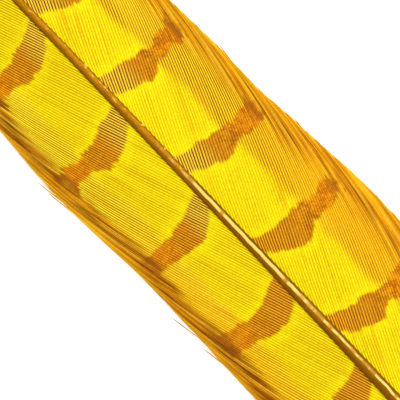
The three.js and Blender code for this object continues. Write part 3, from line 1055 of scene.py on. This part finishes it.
def horn_material(colours):
    """Dyed keratin horn, polished by preening: golden brown towards the tip, and towards the quill dark
    brown with a pale stripe along the right flank, which shallow knots break. The stripe is partly pale
    horn and partly a painted highlight, and small painted highlights bead the top towards the tip. It
    has a satin shine."""
    material, node = new_material("Dyed keratin horn")
    station, cross, lift = (
        node("Attribute", attribute_name=key, out="Fac") for key in ("station", "cross", "lift"))
    spot = node("CombineXYZ", [station, cross, lift])

    # noise that is drawn out along the shaft or round it
    wander, mottle, nick, bead, scratch = (
        node("TexNoise", {
            "Vector": node("Mapping", {"Vector": spot, "Scale": stretch}),
            "Scale": 1 / size, "Detail": detail})
        for stretch, size, detail in (
            ((1, 0.1, 0.1), STRIPE_WANDER, 2), ((1, 1.5, 1), HORN_MOTTLE, 4),
            ((1, 0.8, 0.8), NICK_GAP, 2), ((0.6, 1.4, 0.1), BEAD, 2), ((0.12, 4, 4), SCRATCH, 3)))

    # places across the shaft run from 0 on its left side to 1 on its right side
    wander = node("Math", [wander, 0.5], operation="SUBTRACT")
    place = node("MapRange", [cross, -1, 1])
    place = node("Math", [wander, 0.2, place], operation="MULTIPLY_ADD")
    # the stripe narrows towards the quill, from the side of the dark flank
    narrowing = node("MapRange", [station, *STRIPE_NARROW, 0.5, 0.0])
    from_edge = node("Math", [place, 0.75], operation="SUBTRACT")     # of the stripe's right side
    place = node("Math", [from_edge, narrowing, place], operation="MULTIPLY_ADD")
    # the pale stripe is partly pale horn and partly a painted highlight on the flank towards the light,
    # and the thin dark line beside it is painted shade where the shaft turns down to the right vane
    stripe_side = node("ValToRGB", [place], stops=stops_of(
        colours, (0.1, "horn_dark"), (0.25, "horn_flank"), (0.45, "horn_flank"),
        (0.49, "horn_stripe_and_highlight"), (0.72, "horn_stripe_and_highlight"), (0.78, "horn_edge_shade")))
    gold_side = node("ValToRGB", [place], stops=stops_of(
        colours, (0.05, "horn_dark"), (0.3, "horn_brown"), (0.4, "horn_brown"), (0.5, "horn_gold"),
        (0.8, "horn_gold"), (0.9, "horn_dark")))
    mottle = node("MapRange", [mottle, 0.45, 0.65, 0, 0.5])
    dark = tint(colours, "horn_dark")
    gold_side = node("Mix", {"Factor": mottle, "A": gold_side, "B": dark}, **MIX_COLOURS)

    # the stripe fades into gold a little past the middle. Knots break it on the way, and small nicks do
    # so towards the quill
    fading = node("TexNoise", {"Vector": station, "Scale": 1 / FADE_PATCH, "Detail": 2})
    fading = node("Math", [fading, 40, station], operation="MULTIPLY_ADD")
    to_tip = node("MapRange", [fading, *STRIPE_END], interpolation_type="SMOOTHSTEP")
    knot = node("TexNoise", {"W": station, "Scale": 1 / KNOT_GAP, "Detail": 2}, noise_dimensions="1D")
    knot = node("MapRange", [knot, 0.6, 0.64, 0, 0.8])
    gold = node("Math", [to_tip, knot], operation="MAXIMUM")
    nick = node("MapRange", [nick, 0.4, 0.6, 0, 0.8])
    to_quill = node("MapRange", [station, *NICKED, 1.0, 0.0])
    nick = node("Math", [nick, to_quill], operation="MULTIPLY")
    gold = node("Math", [gold, nick], operation="MAXIMUM")
    colour = node("Mix", {"Factor": gold, "A": stripe_side, "B": gold_side}, **MIX_COLOURS)

    # painted highlights: where barbs leave it towards the tip, small beads of light are painted on the
    # horn
    bead = node("MapRange", [bead, 0.57, 0.68, 0, 0.8])
    bead = node("Math", [bead, to_tip], operation="MULTIPLY")
    on_top = node("MapRange", [cross, -0.1, 0.3])
    bead = node("Math", [bead, on_top], operation="MULTIPLY")
    colour = node("Mix", {"Factor": bead, "A": colour, "B": tint(colours, "horn_bead_highlight")}, **MIX_COLOURS)

    # the bare quill is paler, and so is the pith that shows in the groove underneath
    quill = node("Math", [wander, 20, station], operation="MULTIPLY_ADD")
    quill = node("MapRange", [quill, *BARE_QUILL, 0.85, 0.0], interpolation_type="SMOOTHSTEP")
    colour = node("Mix", {"Factor": quill, "A": colour, "B": tint(colours, "quill")}, **MIX_COLOURS)
    below = node("MapRange", [lift, -0.75, -0.35, 0.7, 0.0])
    colour = node("Mix", {"Factor": below, "A": colour, "B": tint(colours, "pith")}, **MIX_COLOURS)

    # long fine scratches and growth lines
    shade = node("MapRange", [scratch, 0.3, 0.7, 0.88, 1.1])
    colour = node("VectorMath", {0: colour, "Scale": shade}, operation="SCALE")
    bump = node("Bump", {"Height": scratch, "Strength": 0.25, "Distance": SCRATCH_DEPTH * MM})
    rough = node("MapRange", [scratch, 0.3, 0.7, 0.32, 0.48])
    shader = node("BsdfPrincipled", {
        "Base Color": colour, "Roughness": rough, "IOR": KERATIN_IOR, "Specular IOR Level": 0.05,
        "Normal": bump})
    node("OutputMaterial", {"Surface": shader})
    return material


def down_material(colours):
    """Dyed down: soft keratin filaments without hooks, pale and matt, whiter at their roots."""
    material, node = new_material("Dyed keratin down")
    travel, strand = (node("Attribute", attribute_name=key, out="Fac") for key in ("travel", "strand"))
    colour = node("ValToRGB", [travel], stops=stops_of(
        colours, (0.0, "down_root"), (0.5, "down"), (1.0, "down")))
    shade = node("MapRange", [strand, 0, 1, 0.82, 1.12])
    colour = node("VectorMath", {0: colour, "Scale": shade}, operation="SCALE")
    shader = node("BsdfPrincipled", {
        "Base Color": colour, "Roughness": 0.85, "IOR": KERATIN_IOR, "Specular IOR Level": 0.1})
    node("OutputMaterial", {"Surface": shader})
    return material


def floor_material():
    """A matt white studio sweep, lit so well that no shadow stays on it."""
    material, node = new_material("Matt white studio board")
    grain = node("TexNoise", {"Scale": 1 / (FLOOR_GRAIN * MM)})
    rough = node("MapRange", [grain, 0, 1, 0.8, 0.95])
    shader = node("BsdfPrincipled", {
        "Base Color": linear("f6f6f6"), "Roughness": rough, "Specular IOR Level": 0.2,
        "Emission Color": (1, 1, 1, 1), "Emission Strength": 0.55})
    node("OutputMaterial", {"Surface": shader})
    return material


# ---------------------------------------------------------------- properties

def length_property(name, description, default, least, most):
    """A length that is given in millimetres."""
    return FloatProperty(name=name, description=description, default=default * MM, min=least * MM,
                         max=most * MM, unit="LENGTH", precision=5)


def count_property(name, description, default, least, most):
    return IntProperty(name=name, description=description, default=default, min=least, max=most)


def colour_property(name, description, hex_colour):
    return FloatVectorProperty(name=name, description=description, default=linear(hex_colour)[:3],
                               subtype="COLOR", size=3, min=0, max=1)


class FeatherSizes(bpy.types.PropertyGroup):
    """Sizes and counts that a user would change"""

    right_spacing: length_property(
        "Right barb spacing", "Distance along the shaft between barbs of the right vane", 1.47, 0.8, 4)
    left_spacing: length_property(
        "Left barb spacing", "Distance along the shaft between barbs of the left vane", 1.63, 0.8, 4)
    right_bars: length_property(
        "Right bar spacing", "Distance between dark bars on the right vane", 24.0, 10, 60)
    left_bars: length_property(
        "Left bar spacing", "Distance between dark bars on the left vane", 26.1, 10, 60)
    right_hairs: count_property("Right hairs", "Loose hairs along the right vane's edge", 8, 1, 30)
    left_hairs: count_property("Left hairs", "Loose hairs along the left vane's edge", 14, 1, 30)
    plumes: count_property("Down plumes", "Plumes in each tuft of down beside the quill", 84, 10, 100)


class FeatherColours(bpy.types.PropertyGroup):
    """Colours of the dyed feather"""

    inner_rib: colour_property("Inner rib", "Barbs' ribs on the inner half of a vane", "fee808")
    inner_web: colour_property("Inner web", "Barbs' webs on the inner half of a vane", "d2a200")
    right_outer_rib: colour_property("Right outer rib", "Ribs, outer half of the right vane", "ffd61c")
    right_outer_web: colour_property("Right outer web", "Webs, outer half of the right vane", "985800")
    left_outer_rib: colour_property("Left outer rib", "Ribs, outer half of the left vane", "ffe424")
    left_outer_web: colour_property("Left outer web", "Webs, outer half of the left vane", "b07400")
    right_fringe_rib: colour_property("Right fringe rib", "Ribs in the right fringe", "ffb60c")
    right_fringe_web: colour_property("Right fringe web", "Webs in the right fringe", "cc8000")
    left_fringe_rib: colour_property("Left fringe rib", "Ribs in the left fringe", "f4aa10")
    left_fringe_web: colour_property("Left fringe web", "Webs in the left fringe", "a86400")
    rim: colour_property("Rim", "Last tips of the barbs", "ffc41c")
    # painted highlight on one barb of each group in the fringe
    glint: colour_property("Glints", "Bare ribs that catch the light in the fringe", "ffd838")
    # painted shade in the seams of the fringe, and the dark tips of the loose hairs
    streak: colour_property("Streaks", "Dark streaks in the fringe", "783c00")
    outer_stain: colour_property("Outer stain", "Orange on the outer half towards the quill", "ffb000")
    right_fringe_stain: colour_property("Right fringe stain", "Orange in the right fringe", "dc8400")
    left_fringe_stain: colour_property("Left fringe stain", "Brown in the left fringe", "bc6800")
    smear: colour_property("Smears", "Places where the dye ran", "e08c00")
    bar_root_rib: colour_property("Bar rib by the shaft", "Ribs in a bar near the shaft", "fecc34")
    bar_root_web: colour_property("Bar web by the shaft", "Webs in a bar near the shaft", "582a00")
    bar_middle_rib: colour_property("Bar middle rib", "Ribs in the middle of a bar", "ec9c10")
    bar_middle_web: colour_property("Bar middle web", "Webs in the middle of a bar", "8c4c00")
    bar_outer_rib: colour_property("Bar outer rib", "Ribs in the outer part of a bar", "ec980c")
    bar_outer_web: colour_property("Bar outer web", "Webs in the outer part of a bar", "b46000")
    bar_end: colour_property("Bar end", "Outer end of a bar", "b06408")
    underside: colour_property("Underside", "Underside of the barbs", "fff0a0")
    horn_gold: colour_property("Horn gold", "Shaft towards the tip", "c28000")
    horn_brown: colour_property("Horn brown", "Left flank of the shaft towards the tip", "a86c00")
    horn_flank: colour_property("Horn flank", "Left flank of the shaft towards the quill", "925a00")
    horn_dark: colour_property("Horn dark", "Dark parts of the shaft", "8a5600")
    # partly pale horn and partly a painted highlight
    horn_stripe_and_highlight: colour_property("Horn stripe", "Pale stripe along the shaft", "f4d66c")
    # painted shade where the shaft turns down beside the right vane
    horn_edge_shade: colour_property("Horn edge", "Thin edge beside the stripe", "7c5400")
    # painted highlights
    horn_bead_highlight: colour_property("Horn beads", "Small glints on the shaft towards the tip", "ffcc4c")
    quill: colour_property("Quill", "Bare quill at the base", "eccc6c")
    pith: colour_property("Pith", "Pith that shows in the groove under the shaft", "e8c860")
    down_root: colour_property("Down root", "Stems of the down at the quill", "fff2b8")
    down: colour_property("Down", "Filaments of the down", "ffe464")


# ---------------------------------------------------------------- operators

def place_piece(piece, material, node):
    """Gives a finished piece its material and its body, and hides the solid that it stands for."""
    piece.data.materials.clear()
    piece.data.materials.append(material)
    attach(piece, BODY)
    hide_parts(node)


class FEATHER_OT_shaft(bpy.types.Operator):
    """Draw the shaft out of a ring, from the open end of the quill to its tip"""

    bl_idname = "feather.shaft"
    bl_label = "Shaft"

    def execute(self, context):
        bpy.ops.object.select_all(action="DESELECT")
        bpy.ops.mesh.primitive_circle_add(
            vertices=RING_SIDES, radius=SHAFT.radius(0) * MM, fill_type="NGON",
            location=SHAFT.axis_point(0), rotation=(0, math.pi / 2, 0))
        piece = context.object
        piece.name = piece.data.name = "feather_shaft"
        bpy.ops.object.transform_apply(location=True, rotation=True, scale=True)
        bpy.ops.object.mode_set(mode="EDIT")
        bpy.ops.mesh.select_mode(type="FACE")
        bpy.ops.mesh.select_all(action="SELECT")
        draw_out_shaft(piece, np.random.default_rng(21))
        hollow_quill(piece)
        bpy.ops.mesh.select_all(action="SELECT")
        bpy.ops.mesh.normals_make_consistent(inside=False)
        bpy.ops.object.mode_set(mode="OBJECT")
        rounding = piece.modifiers.new("Rounding", "SUBSURF")
        rounding.levels = rounding.render_levels = 1
        bpy.ops.object.modifier_apply(modifier=rounding.name)
        bpy.ops.object.shade_smooth()
        while piece.data.uv_layers:
            piece.data.uv_layers.remove(piece.data.uv_layers[0])
        mark_shaft(piece.data)
        shaft_bake_map(piece.data)
        place_piece(piece, horn_material(context.scene.feather_colours), "shaft")
        return {"FINISHED"}


class FEATHER_OT_vanes(bpy.types.Operator):
    """Model both vanes, barb by barb"""

    bl_idname = "feather.vanes"
    bl_label = "Vanes"

    def execute(self, context):
        sizes = context.scene.feather_sizes
        colours = context.scene.feather_colours
        right = VaneLaw(
            SideProfile("right_vane", -1), RIGHT_ANGLES, sizes.right_spacing / MM, RIGHT_BAR_TIPSIDE,
            RIGHT_BAR_QUILLSIDE, bar_anchor=262.7, bar_pitch=sizes.right_bars / MM, clump=(6, 16),
            clump_pull=(0.0, 0.05), fringe_cover=1.6, hairs=sizes.right_hairs, seed=4, bar_seed=4917)
        left = VaneLaw(
            SideProfile("left_vane", 1), LEFT_ANGLES, sizes.left_spacing / MM, LEFT_BAR_TIPSIDE,
            LEFT_BAR_QUILLSIDE, bar_anchor=256.5, bar_pitch=sizes.left_bars / MM, clump=(5, 13),
            clump_pull=(0.0, 0.09), fringe_cover=1.5, hairs=sizes.left_hairs, seed=9, bar_seed=11936)
        for side, law in (("right", right), ("left", left)):
            piece = make_vane(law, side + "_vane_barbs")
            place_piece(piece, barb_material(colours, side, **BARB_LOOKS[side]), side + "_vane")
        return {"FINISHED"}


class FEATHER_OT_down(bpy.types.Operator):
    """Model the tufts of down on both sides of the quill"""

    bl_idname = "feather.down"
    bl_label = "Down"

    def execute(self, context):
        count = context.scene.feather_sizes.plumes
        material = down_material(context.scene.feather_colours)
        for node, side, seed in (("right_down", -1, 31), ("left_down", 1, 32)):
            piece = make_down(SideProfile(node, side), node + "_plumes", count, seed)
            place_piece(piece, material, node)
        return {"FINISHED"}


VIEW_TIP = (-0.69, 0.7276, 0)  # where the feather's tip points in the camera's view
VIEW_STATION = 227.2           # what the camera looks at
VIEW_LATERAL = 1.3
VIEW_HEIGHT = 4
CAMERA_RISE = 0.208            # metres above that point
KEY_PLACE = (-0.55, 0.66)      # the light's Y and Z, in metres
KEY_SIZE = (1.4, 0.5)
KEY_POWER = 7.3
SKY_STRENGTH = 0.6


class FEATHER_OT_stage(bpy.types.Operator):
    """Set the floor, the lights and the camera"""

    bl_idname = "feather.stage"
    bl_label = "Stage"

    def execute(self, context):
        scene = context.scene
        bpy.ops.object.select_all(action="DESELECT")
        bpy.ops.mesh.primitive_plane_add(size=6)
        floor = context.object
        floor.name = "floor"
        floor.data.materials.append(floor_material())

        tip = Vector(VIEW_TIP).normalized()
        turn = math.atan2(tip.y, tip.x)
        across = SHAFT.middle(VIEW_STATION) + VIEW_LATERAL
        centre = Vector((VIEW_STATION + QUILL_X, across, VIEW_HEIGHT)) * MM
        bpy.ops.object.camera_add(
            location=centre + Vector((0, 0, CAMERA_RISE)), rotation=(0, 0, -turn))
        camera = context.object
        camera.data.lens = 85
        camera.data.sensor_width = 36
        camera.data.clip_start = 0.01
        scene.camera = camera

        bpy.ops.object.light_add(type="AREA", location=(centre.x, *KEY_PLACE))
        key = context.object
        key.name = "key_light"
        to_feather = Vector((centre.x, 0, 0)) - key.location
        key.rotation_euler = to_feather.to_track_quat("-Z", "Y").to_euler()
        key.data.shape = "RECTANGLE"
        key.data.size, key.data.size_y = KEY_SIZE
        key.data.energy = KEY_POWER

        world = bpy.data.worlds.new("Studio")
        scene.world = world
        world.use_nodes = True
        background = world.node_tree.nodes["Background"]
        background.inputs["Color"].default_value = (1, 1, 1, 1)
        background.inputs["Strength"].default_value = SKY_STRENGTH
        scene.view_settings.view_transform = "Standard"
        return {"FINISHED"}


class FEATHER_PT_panel(bpy.types.Panel):
    """Sizes, colours and build steps of the feather"""

    bl_label = "Feather"
    bl_idname = "FEATHER_PT_panel"
    bl_space_type = "VIEW_3D"
    bl_region_type = "UI"
    bl_category = "Feather"

    def draw(self, context):
        for group in (context.scene.feather_sizes, context.scene.feather_colours):
            for key in group.__annotations__:
                self.layout.prop(group, key)
        for step in STEPS:
            self.layout.operator(step)


CLASSES = (
    FeatherSizes, FeatherColours,
    FEATHER_OT_shaft, FEATHER_OT_vanes, FEATHER_OT_down, FEATHER_OT_stage, FEATHER_PT_panel,
)
STEPS = ("feather.shaft", "feather.vanes", "feather.down", "feather.stage")


def register():
    for item in CLASSES:
        bpy.utils.register_class(item)
    bpy.types.Scene.feather_sizes = PointerProperty(type=FeatherSizes)
    bpy.types.Scene.feather_colours = PointerProperty(type=FeatherColours)


def unregister():
    del bpy.types.Scene.feather_colours
    del bpy.types.Scene.feather_sizes
    for item in reversed(CLASSES):
        bpy.utils.unregister_class(item)


def main():
    register()
    bpy.ops.feather.shaft()
    bpy.ops.feather.vanes()
    bpy.ops.feather.down()
    bpy.ops.feather.stage()


if __name__ == "__main__":
    main()
